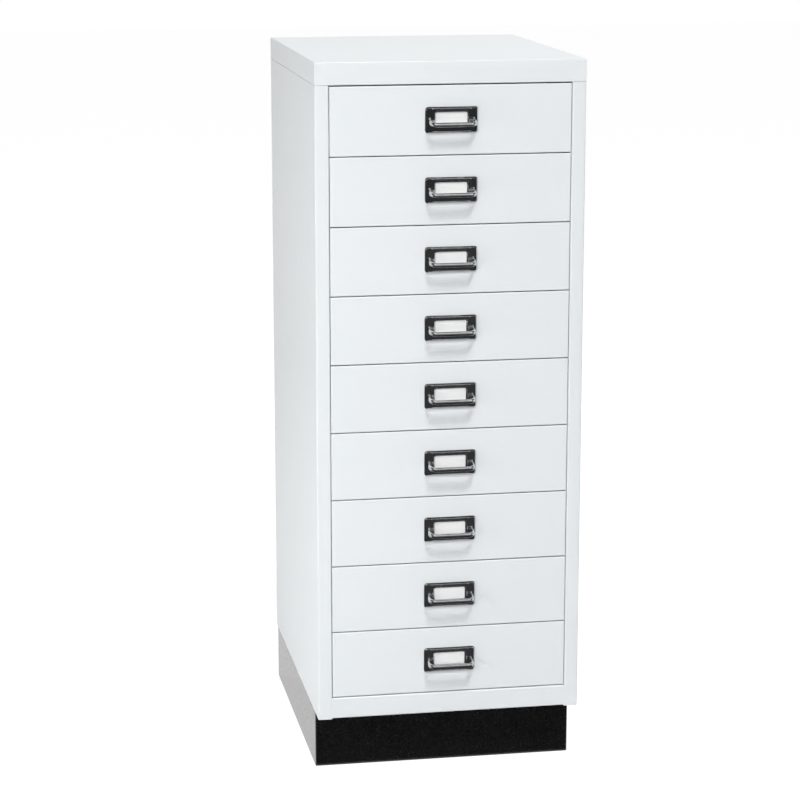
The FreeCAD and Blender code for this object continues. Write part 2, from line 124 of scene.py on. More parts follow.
whitePaint = {
    "colour": (0.835, 0.868, 0.885),
    "patches": (0.82, 0.856, 0.866),    # slow change of tone over a panel
    "patchSize": 260,
    "glossSize": 260 / 9,
    "roughness": (0.33, 0.41),
    "peelSize": 2.4,                    # orange peel of the powder coat
    "peelDepth": 0.03, "peelStrength": 0.35,
    "grainSize": 0.45,
    "grainDepth": 0.006, "grainStrength": 0.5,
}
blackPaint = {
    "colour": (0.0055, 0.0055, 0.006),
    "patches": (0.009, 0.009, 0.0095),
    "patchSize": 40,
    "glossSize": 40 / 9,
    "roughness": (0.22, 0.30),
    "coat": 0.35,
    "coatRoughness": 0.1,
    "peelSize": 2.4,
    "peelDepth": 0.012, "peelStrength": 0.35,
    "grainSize": 0.5,
    "grainDepth": 0.003, "grainStrength": 0.5,
}


def paintMaterial(name, paint):
    material, tree, shader, place = newMaterial(name)
    patches = between(tree, noise(tree, place, paint["patchSize"], 4), 0, 1)
    gloss = noise(tree, place, paint["glossSize"], 3)
    peel = noise(tree, place, paint["peelSize"], 1)
    grain = noise(tree, place, paint["grainSize"], 1)
    bumps = relief(tree, peel, paint["peelDepth"], paint["peelStrength"])
    bumps = relief(tree, grain, paint["grainDepth"], paint["grainStrength"], bumps)
    tree.links.new(twoTone(tree, patches, paint["colour"], paint["patches"]),
                   shader.inputs["Base Color"])
    tree.links.new(between(tree, gloss, *paint["roughness"]), shader.inputs["Roughness"])
    tree.links.new(bumps, shader.inputs["Normal"])
    if "coat" in paint:
        shader.inputs["Coat Weight"].default_value = paint["coat"]
        shader.inputs["Coat Roughness"].default_value = paint["coatRoughness"]
    return material


zincPlate = {
    "colour": (0.60, 0.61, 0.62),
    "spangle": (0.50, 0.515, 0.54),
    "spangleSize": 7,
    "roughness": (0.28, 0.42),
    "markSize": 0.5,                    # marks left by the rolls
    "markStretch": (1, 0.02, 1),        # they run along Y
    "markDepth": 0.01, "markStrength": 0.3,
}


def zincMaterial():
    material, tree, shader, place = newMaterial("zincPlate")
    crystals = addNode(tree, "ShaderNodeTexVoronoi", {
        "Vector": place, "Scale": 1 / (zincPlate["spangleSize"] * mm)}).outputs["Color"]
    share = addNode(tree, "ShaderNodeSeparateColor", {0: crystals}).outputs[0]
    marks = noise(tree, place, zincPlate["markSize"], 2, zincPlate["markStretch"])
    bumps = relief(tree, marks, zincPlate["markDepth"], zincPlate["markStrength"])
    tree.links.new(twoTone(tree, share, zincPlate["colour"], zincPlate["spangle"]),
                   shader.inputs["Base Color"])
    tree.links.new(between(tree, marks, *zincPlate["roughness"]), shader.inputs["Roughness"])
    tree.links.new(bumps, shader.inputs["Normal"])
    shader.inputs["Metallic"].default_value = 1
    return material


chromePlate = {
    "colour": (0.70, 0.71, 0.72),
    "haze": (0.60, 0.61, 0.62),
    "hazeSize": 9,
    "roughness": (0.05, 0.13),
    "waveSize": 7,                      # unevenness of the casting under the chrome
    "waveDepth": 0.05, "waveStrength": 0.4,
    "pitSize": 0.6,
    "pitDepth": 0.004, "pitStrength": 0.4,
}


def chromeMaterial():
    material, tree, shader, place = newMaterial("chromePlate")
    haze = noise(tree, place, chromePlate["hazeSize"], 3)
    share = between(tree, haze, 0, 1)
    wave = noise(tree, place, chromePlate["waveSize"], 1)
    pits = noise(tree, place, chromePlate["pitSize"], 2)
    bumps = relief(tree, wave, chromePlate["waveDepth"], chromePlate["waveStrength"])
    bumps = relief(tree, pits, chromePlate["pitDepth"], chromePlate["pitStrength"], bumps)
    tree.links.new(twoTone(tree, share, chromePlate["colour"], chromePlate["haze"]),
                   shader.inputs["Base Color"])
    tree.links.new(between(tree, haze, *chromePlate["roughness"]), shader.inputs["Roughness"])
    tree.links.new(bumps, shader.inputs["Normal"])
    shader.inputs["Metallic"].default_value = 1
    return material


labelStock = {
    "colour": (0.955, 0.96, 0.955),
    "fibres": (0.93, 0.94, 0.935),
    "fibreSize": 0.5,
    "fibreStretch": (0.35, 1, 1),
    "fibreDepth": 0.02, "fibreStrength": 0.3,
    "roughness": (0.62, 0.78),
}


def cardMaterial():
    material, tree, shader, place = newMaterial("labelCard")
    fibres = noise(tree, place, labelStock["fibreSize"], 4, labelStock["fibreStretch"])
    share = between(tree, fibres, 0, 1)
    bumps = relief(tree, fibres, labelStock["fibreDepth"], labelStock["fibreStrength"])
    tree.links.new(twoTone(tree, share, labelStock["colour"], labelStock["fibres"]),
                   shader.inputs["Base Color"])
    tree.links.new(between(tree, fibres, *labelStock["roughness"]), shader.inputs["Roughness"])
    tree.links.new(bumps, shader.inputs["Normal"])
    return material


glideNylon = {
    "colour": (0.74, 0.73, 0.68),
    "clouds": (0.69, 0.68, 0.62),
    "cloudSize": 5,
    "roughness": (0.38, 0.5),
    "waxy": 0.1, "waxyDepth": 1,        # share of the light that sinks in, and how far
}


def nylonMaterial():
    material, tree, shader, place = newMaterial("glideNylon")
    clouds = noise(tree, place, glideNylon["cloudSize"], 3)
    share = between(tree, clouds, 0, 1)
    tree.links.new(twoTone(tree, share, glideNylon["colour"], glideNylon["clouds"]),
                   shader.inputs["Base Color"])
    tree.links.new(between(tree, clouds, *glideNylon["roughness"]), shader.inputs["Roughness"])
    shader.inputs["Subsurface Weight"].default_value = glideNylon["waxy"]
    shader.inputs["Subsurface Scale"].default_value = glideNylon["waxyDepth"] * mm
    return material


finishes = {
    "white_paint": paintMaterial("whitePaint", whitePaint),
    "black_paint": paintMaterial("blackPaint", blackPaint),
    "zinc_steel": zincMaterial(),
    "chrome_plate": chromeMaterial(),
    "card": cardMaterial(),
    "nylon": nylonMaterial(),
}
print("materials made")


def newObject(name, mesh):
    made = bpy.data.objects.new(name, mesh)
    bpy.context.scene.collection.objects.link(made)
    return made


def makePlain(made):
    # the evaluated mesh takes the place of the mesh and its modifiers
    bpy.context.view_layer.update()
    graph = bpy.context.evaluated_depsgraph_get()
    mesh = bpy.data.meshes.new_from_object(made.evaluated_get(graph), preserve_all_data_layers=True,
                                           depsgraph=graph)
    mesh.name = made.name
    made.modifiers.clear()
    made.data = mesh
    return made


def smoothBends(made, corner=32):
    # flat sheet stays flat in the shading, and a fold of many faces turns smoothly;
    # an edge that turns by more than the corner, in degrees, stays sharp
    made.data.shade_smooth()
    made.data.set_sharp_from_angle(angle=math.radians(corner))
    weighted = made.modifiers.new("weighted", "WEIGHTED_NORMAL")
    weighted.keep_sharp = True
    return makePlain(made)


def addPiece(made, body, slot, *standsFor):
    made.data.materials.clear()
    made.data.materials.append(finishes[slot])
    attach(made, body)
    if standsFor:
        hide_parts(*standsFor)
    return made


# A CAD node's faces are loose triangles, so a copy is merged, and its cut edges are eased.
copied = {
    "merge": 0.002,
    "flat": 0.5,        # in degrees: faces that turn by less are one face
    "corner": 35,       # edges that turn by more are eased
}
edgeEase = {
    "top_cap": 0.35, "side_panel_left": 0.3, "side_panel_right": 0.3, "base_pan": 0.3,
    "back_panel": 0.3, "top_rail": 0.25, "uprights_left": 0.25, "uprights_right": 0.25,
    "runners_left": 0.15, "runners_right": 0.15,
    "plinth_front": 0.3, "plinth_side_left": 0.3, "plinth_side_right": 0.3, "plinth_back": 0.3,
}
slotOf = {          # the others are white
    "uprights_left": "zinc_steel", "uprights_right": "zinc_steel",
    "runners_left": "zinc_steel", "runners_right": "zinc_steel",
    "plinth_front": "black_paint", "plinth_side_left": "black_paint",
    "plinth_side_right": "black_paint", "plinth_back": "black_paint",
}


def easedCopy(node, name, ease):
    shape = bmesh.new()
    shape.from_mesh(cadNodes[node].data)
    bmesh.ops.remove_doubles(shape, verts=shape.verts, dist=copied["merge"] * mm)
    bmesh.ops.dissolve_limit(shape, angle_limit=math.radians(copied["flat"]), verts=shape.verts,
                             edges=shape.edges)
    mesh = bpy.data.meshes.new(name)
    shape.to_mesh(mesh)
    shape.free()
    made = newObject(name, mesh)
    bevel = made.modifiers.new("ease", "BEVEL")
    bevel.width = ease * mm
    bevel.segments = 2
    bevel.limit_method = "ANGLE"
    bevel.angle_limit = math.radians(copied["corner"])
    bevel.use_clamp_overlap = True
    makePlain(made)
    return smoothBends(made)


# The cap's skirt stands a hair clear of the side panels under it.
capSeam = {"level": 910.5, "gap": 0.3}

for node, ease in edgeEase.items():
    made = easedCopy(node, node + (".finished" if node in slotOf else ".painted"), ease)
    if node.startswith("side_panel"):
        for vertex in made.data.vertices:
            if vertex.co.z > capSeam["level"] * mm:
                vertex.co.z -= capSeam["gap"] * mm
    addPiece(made, "cabinet", slotOf.get(node, "white_paint"), node)

# The seams between the lowest rail and the posts are welded, ground flush and painted over.
seamFiller = {
    "from": 155.0, "to": 157.3, "foot": 81.3, "top": 107.7,
    "front": -205.02, "back": -204.25, "ease": 0.2,
}


def fillerMesh(side):
    # side is -1 on the left and 1 on the right
    f = seamFiller
    shape = bmesh.new()
    bmesh.ops.create_cube(shape, size=1)
    size = Vector((f["to"] - f["from"], f["back"] - f["front"], f["top"] - f["foot"])) * mm
    bmesh.ops.scale(shape, vec=size, verts=shape.verts)
    bmesh.ops.bevel(shape, geom=shape.edges[:], offset=f["ease"] * mm, segments=2, affect="EDGES",
                    profile=0.5)
    mesh = bpy.data.meshes.new("seamFiller")
    shape.to_mesh(mesh)
    shape.free()
    middle = (side * (f["from"] + f["to"]) / 2, (f["front"] + f["back"]) / 2, (f["foot"] + f["top"]) / 2)
    mesh.transform(Matrix.Translation(Vector(middle) * mm))
    return mesh


for side, word in ((-1, "Left"), (1, "Right")):
    filler = newObject("seamFiller" + word, fillerMesh(side))
    addPiece(smoothBends(filler), "cabinet", "white_paint")
print("cabinet sheets made")


def newTree(name, inputs):
    tree = bpy.data.node_groups.new(name, "GeometryNodeTree")
    for label, kind, value in inputs:
        socket = tree.interface.new_socket(label, in_out="INPUT", socket_type="NodeSocket" + kind)
        if value is not None:
            socket.default_value = value
    tree.interface.new_socket("Geometry", in_out="OUTPUT", socket_type="NodeSocketGeometry")
    given = addNode(tree, "NodeGroupInput").outputs
    return tree, given


def endTree(tree, shape, material):
    real = addNode(tree, "GeometryNodeRealizeInstances", {0: shape}).outputs[0]
    painted = addNode(tree, "GeometryNodeSetMaterial", {
        "Geometry": real, "Material": material}).outputs[0]
    addNode(tree, "NodeGroupOutput", {"Geometry": painted})


def grow(tree, name, values):
    made = newObject(name, bpy.data.meshes.new(name))
    modifier = made.modifiers.new("shape", "NODES")
    modifier.node_group = tree
    for socket in tree.interface.items_tree:
        if socket.in_out == "INPUT" and socket.name in values:
            modifier[socket.identifier] = values[socket.name]
    return makePlain(made)


def sums(tree, operation, first, second):
    return addNode(tree, "ShaderNodeMath", {0: first, 1: second}, operation=operation).outputs[0]


def pointAt(tree, x, y, z=0.0):
    return addNode(tree, "ShaderNodeCombineXYZ", {0: x, 1: y, 2: z}).outputs[0]


# A folded pan: a bent edge swept round a rectangle, mitred at its corners, and two skins across it.
drawerFront = {
    "width": 310.9,
    "height": 87.5,
    "depth": 12.0,
    "lip": 8.0,                 # edge turned in behind
    "sheet": 0.8,
    "bend": 1.2,                # outer radius of a fold
    "bendSteps": 5,
}


def panTree():
    tree, given = newTree("foldedPan", [
        ("Width", "Float", 0.31), ("Height", "Float", 0.087), ("Depth", "Float", 0.012),
        ("Lip", "Float", 0.008), ("Sheet", "Float", 0.0008), ("Bend", "Float", 0.0012),
        ("Place", "Vector", None), ("Turn", "Vector", None), ("Finish", "Material", None)])
    width, height, depth, lip, sheet, bend, place, turn, finish = list(given)[:9]
    rim = sums(tree, "ADD", lip, sums(tree, "MULTIPLY", sheet, 2.0))
    inRim = sums(tree, "SUBTRACT", rim, sheet)
    lipEnd = sums(tree, "SUBTRACT", rim, lip)
    inDepth = sums(tree, "SUBTRACT", depth, sheet)
    corners = [(0.0, 0.0), (rim, 0.0), (rim, depth), (lipEnd, depth),
               (lipEnd, inDepth), (inRim, inDepth), (inRim, sheet), (0.0, sheet)]
    inBend = sums(tree, "SUBTRACT", bend, sheet)
    radii = [0.0, bend, bend, 0.0, 0.0, inBend, inBend, 0.0]
    index = addNode(tree, "GeometryNodeInputIndex").outputs[0]
    places = addNode(tree, "GeometryNodeIndexSwitch", data_type="VECTOR")
    turns = addNode(tree, "GeometryNodeIndexSwitch", data_type="FLOAT")
    for switch, values in ((places, [pointAt(tree, *c) for c in corners]), (turns, radii)):
        while len(switch.index_switch_items) < len(values):
            switch.index_switch_items.new()
        tree.links.new(index, switch.inputs["Index"])
        for k, value in enumerate(values):
            if isinstance(value, bpy.types.NodeSocket):
                tree.links.new(value, switch.inputs[k + 1])
            else:
                switch.inputs[k + 1].default_value = value
    points = addNode(tree, "GeometryNodePoints", {"Count": len(corners), "Position": places.outputs[0]})
    edge = addNode(tree, "GeometryNodePointsToCurves", {0: points.outputs[0]}).outputs[0]
    edge = addNode(tree, "GeometryNodeFilletCurve", {
        "Curve": edge, "Radius": turns.outputs[0], "Count": drawerFront["bendSteps"]},
        mode="POLY").outputs[0]
    # a swept edge meets its corners on the diagonal
    diagonal = (math.sqrt(2), 1, 1)
    edge = addNode(tree, "GeometryNodeTransform", {"Geometry": edge, "Scale": diagonal}).outputs[0]
    twice = sums(tree, "MULTIPLY", rim, 2.0)
    outline = addNode(tree, "GeometryNodeCurvePrimitiveQuadrilateral",
                      {"Width": sums(tree, "SUBTRACT", width, twice),
                       "Height": sums(tree, "SUBTRACT", height, twice)}, mode="RECTANGLE").outputs[0]
    folded = addNode(tree, "GeometryNodeCurveToMesh", {
        "Curve": outline, "Profile Curve": edge}).outputs[0]
    skin = addNode(tree, "GeometryNodeFillCurve", {"Curve": outline}, mode="NGONS").outputs[0]
    inwards = pointAt(tree, 0.0, 0.0, sums(tree, "MULTIPLY", sheet, -1.0))
    inner = addNode(tree, "GeometryNodeTransform", {"Geometry": skin, "Translation": inwards}).outputs[0]
    inner = addNode(tree, "GeometryNodeFlipFaces", {0: inner}).outputs[0]
    joined = addNode(tree, "GeometryNodeJoinGeometry")
    for part in (inner, skin, folded):
        tree.links.new(part, joined.inputs[0])
    merged = addNode(tree, "GeometryNodeMergeByDistance", {
        "Geometry": joined.outputs[0], "Distance": 0.001 * mm}).outputs[0]
    placed = addNode(tree, "GeometryNodeTransform", {
        "Geometry": merged, "Translation": place, "Rotation": turn}).outputs[0]
    endTree(tree, placed, finish)
    return tree


def drawerLevel(number):
    return stack["topLevel"] - (number - 1) * stack["pitch"]


foldedPan = panTree()
for number in drawerNumbers:
    middle = drawerLevel(number) + stack["frontHeight"] - drawerFront["height"] / 2
    front = grow(foldedPan, f"drawer_{number}_front.folded", {
        "Width": drawerFront["width"] * mm, "Height": drawerFront["height"] * mm,
        "Depth": drawerFront["depth"] * mm, "Lip": drawerFront["lip"] * mm,
        "Sheet": drawerFront["sheet"] * mm, "Bend": drawerFront["bend"] * mm,
        "Place": (0.0, stack["frontFace"] * mm, middle * mm), "Turn": (math.pi / 2, 0.0, 0.0),
        "Finish": finishes["white_paint"]})
    addPiece(smoothBends(front), f"drawer_{number}", "white_paint", f"drawer_{number}_front")
print("drawer fronts made")


# The handle: a label frame with a window, a bow pull and two lugs, all cast in one.
# Its own frame: x across, y negative from the drawer front outwards, z up from the drawer's lower edge.
handle = {
    "width": 68.5, "height": 33.5, "middle": 43.5, "corner": 4.0,
    "depth": 2.6, "plateBevel": 2.0, "cornerLoss": 0.8,     # the corner's share of the bevel
    "panelWidth": 52.5, "panelHeight": 29.5, "panelCorner": 0.9,
    "panelRise": 0.8, "panelSlope": 2.4, "panelEdge": 0.8,
    "windowWidth": 40.0, "windowHeight": 16.0, "windowMiddle": 45.25, "windowCorner": 1.6,
    "windowBevel": 2.0, "windowBevelDepth": 1.7,
    "windowBrow": 1.0, "windowSill": 1.0,       # these make the upper and the lower slope wider
    # each slope as rows of its share of the way across, and of the way up or down
    "plateSlope": ((0.0, 0.0), (0.04, 0.16), (0.16, 0.32), (0.84, 0.92), (0.92, 0.98), (1.0, 1.0)),
    "panelCurve": ((0.0, 0.0), (0.15, 0.25), (0.8, 0.92), (1.0, 1.0)),
    "windowSlope": ((1.0, 0.0), (0.92, 0.04), (0.84, 0.12), (0.14, 0.88), (0.05, 0.98), (0.0, 1.15)),
    "pocketHalf": 24.5, "pocketDepth": 0.9, "pocketFoot": 35.25,
    "bowReach": 22.0, "bowThick": 3.0, "bowTall": 5.2, "bowCorner": 8.5,
    "bowRound": 0.7, "bowBrow": (2.2, 4.2),     # small rounds, and the lean of its outer face's top
    "bowRootHalf": 28.8, "bowBarHalf": 29.3, "bowRootTop": 46.45, "bowBarTop": 41.55,
    "bowSunk": 1.5,                             # its ends start this far inside the plate
    "bowSwell": (0.35, 0.4), "swellReach": 2.5,     # it thickens towards the plate, on each side
    "armSteps": 8, "turnSteps": 12, "barSteps": 5, "browSteps": 9, "roundSteps": 3,
    "lugAt": 29.65, "lugWide": 3.0, "lugTall": 6.0, "lugCorner": 0.4, "lugSunk": 0.6,
    "skin": 0.8, "headSpread": 1.0, "headDepth": 1.2,
    # the peened head as rows of its share of the spread, its corner and its share of the depth
    "headCurve": ((1.0, 0.9, 0.0), (1.0, 0.9, 0.5), (0.6, 0.8, 0.85), (0.0, 0.5, 1.0)),
    "sharpFrom": 38,                            # in degrees
}


def roundedRing(halfWidth, halfHeight, radius, middle=(0, 0), steps=6):
    ring = []
    for quarter, (sideX, sideZ) in enumerate(((1, 1), (-1, 1), (-1, -1), (1, -1))):
        for k in range(steps + 1):
            angle = math.radians(90 * (quarter + k / steps))
            ring.append((middle[0] + sideX * (halfWidth - radius) + radius * math.cos(angle),
                         middle[1] + sideZ * (halfHeight - radius) + radius * math.sin(angle)))
    return ring


def loft(rings, closed=False):
    # rings of equal count joined in turn; closed joins the last to the first, or the ends are filled
    shape = bmesh.new()
    rows = [[shape.verts.new(Vector(place) * mm) for place in ring] for ring in rings]
    pairs = list(zip(rows, rows[1:] + rows[:1])) if closed else list(zip(rows, rows[1:]))
    for row, following in pairs:
        for k in range(len(row)):
            shape.faces.new((row[k - 1], row[k], following[k], following[k - 1]))
    if not closed:
        shape.faces.new(rows[0])
        shape.faces.new(rows[-1])
    bmesh.ops.recalc_face_normals(shape, faces=shape.faces)
    mesh = bpy.data.meshes.new("loft")
    shape.to_mesh(mesh)
    shape.free()
    return mesh


def plateRings():
    h = handle
    rings = []

    def ring(halfWidth, halfHeight, radius, y, middle):
        rings.append([(x, y, z) for x, z in roundedRing(halfWidth, halfHeight, radius, (0, middle))])

    halfWidth, halfHeight, bevel = h["width"] / 2, h["height"] / 2, h["plateBevel"]
    ring(halfWidth, halfHeight, h["corner"], 0, h["middle"])
    for share, rise in h["plateSlope"]:
        inset = bevel * share
        ring(halfWidth - inset, halfHeight - inset, h["corner"] - inset * h["cornerLoss"],
             -h["depth"] + bevel * (1 - rise), h["middle"])
    halfWidth, halfHeight = h["panelWidth"] / 2, h["panelHeight"] / 2
    face = -h["depth"] - h["panelRise"]
    for share, rise in h["panelCurve"]:
        ring(halfWidth - h["panelSlope"] * share, halfHeight - h["panelEdge"] * share, h["panelCorner"],
             -h["depth"] - h["panelRise"] * rise, h["middle"])
    halfWidth, halfHeight = h["windowWidth"] / 2, h["windowHeight"] / 2
    for share, fall in h["windowSlope"]:
        spread, brow, sill = h["windowBevel"] * share, h["windowBrow"] * share, h["windowSill"] * share
        ring(halfWidth + spread, halfHeight + spread + (brow + sill) / 2, h["windowCorner"] + spread,
             face + h["windowBevelDepth"] * fall, h["windowMiddle"] + (brow - sill) / 2)
    ring(halfWidth, halfHeight, h["windowCorner"], 0, h["windowMiddle"])
    return rings


def bowSection(root):
    # (inwards, up) round the bar: small rounds, and an outer face that leans back at its top
    h = handle
    half = h["bowThick"] / 2 + h["bowSwell"][0] * root
    tall = h["bowTall"] / 2 + h["bowSwell"][1] * root
    small = h["bowRound"]
    lean, rise = h["bowBrow"]
    arcs = [(half - small, tall - small, small, small), (lean - half, tall - rise, lean, rise),
            (small - half, small - tall, small, small), (half - small, small - tall, small, small)]
    ring = []
    for quarter, (middleX, middleZ, wide, high) in enumerate(arcs):
        steps = h["browSteps"] if quarter == 1 else h["roundSteps"]
        for k in range(steps + 1):
            angle = math.radians(90 * (quarter + k / steps))
            ring.append((middleX + wide * math.cos(angle), middleZ + high * math.sin(angle)))
    return ring


def bowRings():
    h = handle
    barY = -h["bowReach"] + h["bowThick"] / 2
    start = Vector((-h["bowRootHalf"], -h["depth"]))
    corner = Vector((-h["bowBarHalf"], barY))
    arm = (corner - start).normalized()
    bar = Vector((1, 0))
    turn = arm.angle(bar)
    reach = h["bowCorner"] * math.tan(turn / 2)
    begin, end = corner - arm * reach, corner + bar * reach
    middle = end + Vector((0, h["bowCorner"]))
    sunk = arm * h["bowSunk"]
    stations = [start - sunk + (begin - start + sunk) * k / h["armSteps"] for k in range(h["armSteps"])]
    last = math.atan2(*(end - middle).yx)
    for k in range(h["turnSteps"] + 1):
        angle = last - turn * (1 - k / h["turnSteps"])
        stations.append(middle + h["bowCorner"] * Vector((math.cos(angle), math.sin(angle))))
    stations += [end + (Vector((0, barY)) - end) * k / h["barSteps"] for k in range(1, h["barSteps"])]
    half = stations + [Vector((0, barY))]
    path = half + [Vector((-p.x, p.y)) for p in reversed(stations)]
    slope = (h["bowRootTop"] - h["bowBarTop"]) / (h["bowReach"] - h["depth"])
    rings = []
    for k, place in enumerate(path):
        ahead = (path[min(k + 1, len(path) - 1)] - path[max(k - 1, 0)]).normalized()
        aside = Vector((-ahead.y, ahead.x))
        root = max(0.0, 1 - max(0.0, -place.y - h["depth"]) / h["swellReach"]) ** 2
        ring = []
        for across, up in bowSection(root):
            spot = place + aside * across
            top = h["bowRootTop"] + slope * (spot.y + h["depth"])
            ring.append((spot.x, spot.y, top - h["bowTall"] / 2 + up))
        rings.append(ring)
    return rings


def lugRings(side):
    h = handle
    middle = (side * h["lugAt"], h["middle"])
    sections = [(0.0, h["lugCorner"], -h["lugSunk"]), (0.0, h["lugCorner"], h["skin"])]
    sections += [(share, radius, h["skin"] + h["headDepth"] * deep)
                 for share, radius, deep in h["headCurve"]]
    rings = []
    for share, radius, y in sections:
        spread = h["headSpread"] * share
        outline = roundedRing(h["lugWide"] / 2 + spread, h["lugTall"] / 2 + spread, radius, middle,
                              h["roundSteps"])
        rings.append([(x, y, z) for x, z in outline])
    return rings


def handleCasting():
    h = handle
    plate = newObject("handleCasting", loft(plateRings(), closed=True))
    half, foot, past = h["pocketHalf"], h["pocketFoot"], 5
    top = h["middle"] + h["height"] / 2 + past
    pocket = [[(-half, y, foot), (half, y, foot), (half, y, top), (-half, y, top)]
              for y in (-h["pocketDepth"], past)]
    tools = [(newObject("pocketCutter", loft(pocket)), "DIFFERENCE"),
             (newObject("bow", loft(bowRings())), "UNION"),
             (newObject("lugLeft", loft(lugRings(-1))), "UNION"),
             (newObject("lugRight", loft(lugRings(1))), "UNION")]
    for tool, operation in tools:
        boolean = plate.modifiers.new("cast", "BOOLEAN")
        boolean.operation = operation
        boolean.solver = "EXACT"
        boolean.object = tool
        makePlain(plate)
        bpy.data.objects.remove(tool)
    return smoothBends(plate, h["sharpFrom"])


def copyTree():
    # the top drawer's part, moved down by whole pitches
    tree, given = newTree("downTheStack", [
        ("Part", "Object", None), ("Drawer", "Int", 1), ("Pitch", "Float", 0.0889),
        ("Place", "Vector", None), ("Finish", "Material", None)])
    part, drawer, pitch, place, finish = list(given)[:5]
    shape = addNode(tree, "GeometryNodeObjectInfo", {"Object": part}).outputs["Geometry"]
    drop = sums(tree, "MULTIPLY", sums(tree, "SUBTRACT", 1.0, drawer), pitch)
    moved = addNode(tree, "ShaderNodeVectorMath", {0: place, 1: pointAt(tree, 0.0, 0.0, drop)},
                    operation="ADD").outputs[0]
    placed = addNode(tree, "GeometryNodeTransform", {"Geometry": shape, "Translation": moved}).outputs[0]
    endTree(tree, placed, finish)
    return tree


downTheStack = copyTree()
handlePlace = (0.0, stack["frontFace"] * mm, stack["topLevel"] * mm)
perDrawer = {
    # part: material slot, place of the top drawer's shape, and ease of its edges where it is a copy
    "handle": ("chrome_plate", handlePlace, None),
    "tray": ("white_paint", (0.0, 0.0, 0.0), 0.2),
    "label": ("card", (0.0, 0.0, 0.0), 0.06),
    "glides": ("nylon", (0.0, 0.0, 0.0), 0.25),
}
for part, (slot, place, ease) in perDrawer.items():
    original = handleCasting() if part == "handle" else easedCopy(
        "drawer_1_" + part, "top" + part.capitalize(), ease)
    for number in drawerNumbers:
        made = grow(downTheStack, f"drawer_{number}_{part}.made", {
            "Part": original, "Drawer": number, "Pitch": stack["pitch"] * mm, "Place": place,
            "Finish": finishes[slot]})
        addPiece(made, f"drawer_{number}", slot, f"drawer_{number}_{part}")
    bpy.data.objects.remove(original)
    print("nine drawers have their", part, len(made.data.polygons), "faces each")


# Studio: a floor and a background that the camera sees as white, and soft lamps.
studio = {
    "surroundings": 0.16,       # strength of the light from all round
    "surroundingsColour": (0.985, 0.995, 1),
    "background": 1.0,
    "floorHalf": 14,            # metres
    "floorWhite": 0.80,
    "floorShare": 0.2,          # how much of the floor's own light and shade the camera sees
    "floorGlow": 1.2,           # makes up the rest, to plain white
    "lamps": {
        # watts, size, distance, height and aside in degrees, and the point that the lamp is turned to
        "key": (175.0, 1.3, 6.0, 54.0, 6.5, (0.0, -0.1, 0.5)),
        "left": (20.0, 1.3, 4.0, 45.0, -20.0, (0.0, -0.1, 0.5)),
        "overhead": (9.0, 1.3, 3.0, 76.0, -5.0, (0.0, -0.1, 0.5)),
        "low": (5.2, 1.0, 2.5, 8.0, -45.0, (0.0, -0.1, 0.35)),
        "floor": (2.0, 1.0, 2.0, -6.0, -5.0, (0.0, -0.1, 0.35)),
        "side": (5.4, 0.6, 1.2, 12.0, -62.0, (-0.17, 0.0, 0.2)),
        "back": (62.0, 1.6, 3.5, 28.0, 138.0, (0.0, 0.0, 0.5)),
    },
    "gleaming": ("key", "left", "overhead"),    # the lamps that the paint mirrors
}


def seenOrMirrored(tree):
    path = addNode(tree, "ShaderNodeLightPath").outputs
    either = sums(tree, "MAXIMUM", path["Is Camera Ray"], path["Is Glossy Ray"])
    return sums(tree, "MAXIMUM", either, path["Is Transmission Ray"])


world = bpy.data.worlds.new("studio")
world.use_nodes = True
bpy.context.scene.world = world
tree = world.node_tree
seen = seenOrMirrored(tree)
lit = tree.nodes["Background"]
lit.inputs["Color"].default_value = (*studio["surroundingsColour"], 1)
lit.inputs["Strength"].default_value = studio["surroundings"]
white = addNode(tree, "ShaderNodeBackground", {"Color": (1, 1, 1, 1), "Strength": studio["background"]})
mixed = addNode(tree, "ShaderNodeMixShader", {0: seen, 1: lit.outputs[0], 2: white.outputs[0]})
tree.links.new(mixed.outputs[0], tree.nodes["World Output"].inputs["Surface"])


def stageSheet(name, places, material):
    shape = bmesh.new()
    rows = [[shape.verts.new(place) for place in row] for row in places]
    for row, following in zip(rows, rows[1:]):
        shape.faces.new((row[0], row[1], following[1], following[0]))
    mesh = bpy.data.meshes.new(name)
    shape.to_mesh(mesh)
    shape.free()
    mesh.materials.append(material)
    made = newObject(name, mesh)
    return made


floorMaterial = bpy.data.materials.new("paleFloor")
floorMaterial.use_nodes = True
tree = floorMaterial.node_tree
tree.nodes.remove(tree.nodes["Principled BSDF"])
seen = seenOrMirrored(tree)
plain = addNode(tree, "ShaderNodeBsdfDiffuse", {"Color": (*[studio["floorWhite"]] * 3, 1)})
glow = addNode(tree, "ShaderNodeEmission", {"Color": (1, 1, 1, 1), "Strength": studio["floorGlow"]})
share = sums(tree, "MULTIPLY", seen, 1 - studio["floorShare"])
mixed = addNode(tree, "ShaderNodeMixShader", {0: share, 1: plain.outputs[0], 2: glow.outputs[0]})
tree.links.new(mixed.outputs[0], tree.nodes["Material Output"].inputs["Surface"])
half = studio["floorHalf"]
stageSheet("paleFloor", [[(-half, -half, 0), (half, -half, 0)], [(-half, half, 0), (half, half, 0)]],
           floorMaterial)

# Painted reflections: glowing strips that only reflections see and that light nothing, a dark floor and
# wall in front, a long bright soft box above them and a dark roof.
paintedReflections = {
    "half": 14.0,
    # y and z where a strip starts, and how bright it is
    "strips": [(-0.165, 0.0005, 0.045), (-5.6, 0.0005, 0.03), (-5.6, 0.9, 0.13), (-5.6, 2.9, 1.0),
               (-5.6, 4.4, 1.0), (-2.3, 4.4, 0.03), (4.0, 4.4, None)],
    "sideFrom": 1.0, "sideBack": 3.0,       # the dark painted-reflection strip reaches back on both sides of the cabinet
    "boxFrom": 0.5,                         # a strip brighter than this is a glowing soft box strip, no lamp
    "middleAt": 1.0, "middleShare": 0.7, "middleWidth": (0.4, 3.2),     # it is dimmer in its middle
    "fadeWidth": (4.5, 6.5), "fadeShare": 0.04,
}
